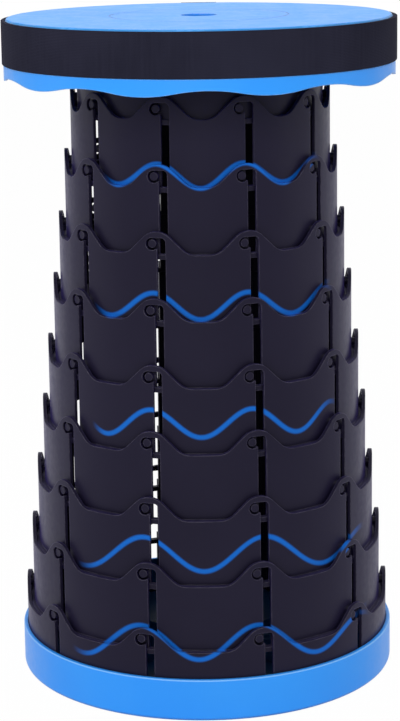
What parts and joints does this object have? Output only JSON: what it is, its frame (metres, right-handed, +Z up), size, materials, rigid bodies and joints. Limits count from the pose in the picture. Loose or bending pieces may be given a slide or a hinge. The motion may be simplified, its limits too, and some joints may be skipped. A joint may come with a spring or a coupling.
{
  "type": "collapsible telescopic stool",
  "caption": "Round telescopic stool: nested plastic rings with wavy edges and key slots slide between a flat round base and a strap-banded seat, and collapse to a disc.",
  "frame": {"origin": "on the floor under the stool's vertical axis, stool extended", "axes": "+Z up along the stool's axis, -Y to the front"},
  "size_m": [0.265, 0.2662, 0.45],
  "materials": {
    "blue_plastic": "satin moulded",
    "dark_blue_plastic": "satin moulded",
    "black_plastic": "satin moulded",
    "webbing": "woven webbing",
    "black_hardware": "satin moulded",
    "steel": "zinc plated",
    "foot_rubber": "matte"
  },
  "bodies": {
    "base": {"base_tray": "blue_plastic", "foot_pad_1": "foot_rubber", "foot_pad_2": "foot_rubber", "foot_pad_3": "foot_rubber", "foot_pad_4": "foot_rubber", "foot_pad_5": "foot_rubber", "foot_pad_6": "foot_rubber", "ring_10": "black_plastic"},
    "ring_9": {"ring_9": "black_plastic"},
    "ring_8": {"ring_8": "black_plastic"},
    "ring_7": {"ring_7": "black_plastic"},
    "ring_6": {"ring_6": "black_plastic"},
    "ring_5": {"ring_5": "black_plastic"},
    "ring_4": {"ring_4": "black_plastic"},
    "ring_3": {"ring_3": "black_plastic"},
    "ring_2": {"ring_2": "black_plastic"},
    "seat": {"ring_1": "black_plastic", "seat_shell": "blue_plastic", "seat_centre_cap": "dark_blue_plastic", "seat_screws": "steel", "strap_webbing": "webbing", "strap_slider": "black_hardware"}
  },
  "joints": [
    {"name": "ring_9_slide", "type": "slide", "parent": "base", "child": "ring_9", "axis": [0, 0, 1], "range_m": [-0.0392, 0]},
    {"name": "ring_8_slide", "type": "slide", "parent": "ring_9", "child": "ring_8", "axis": [0, 0, 1], "range_m": [-0.0428, 0]},
    {"name": "ring_7_slide", "type": "slide", "parent": "ring_8", "child": "ring_7", "axis": [0, 0, 1], "range_m": [-0.0428, 0]},
    {"name": "ring_6_slide", "type": "slide", "parent": "ring_7", "child": "ring_6", "axis": [0, 0, 1], "range_m": [-0.0428, 0]},
    {"name": "ring_5_slide", "type": "slide", "parent": "ring_6", "child": "ring_5", "axis": [0, 0, 1], "range_m": [-0.0428, 0]},
    {"name": "ring_4_slide", "type": "slide", "parent": "ring_5", "child": "ring_4", "axis": [0, 0, 1], "range_m": [-0.0428, 0]},
    {"name": "ring_3_slide", "type": "slide", "parent": "ring_4", "child": "ring_3", "axis": [0, 0, 1], "range_m": [-0.0428, 0]},
    {"name": "ring_2_slide", "type": "slide", "parent": "ring_3", "child": "ring_2", "axis": [0, 0, 1], "range_m": [-0.0428, 0]},
    {"name": "seat_slide", "type": "slide", "parent": "ring_2", "child": "seat", "axis": [0, 0, 1], "range_m": [-0.0428, 0]}
  ]
}
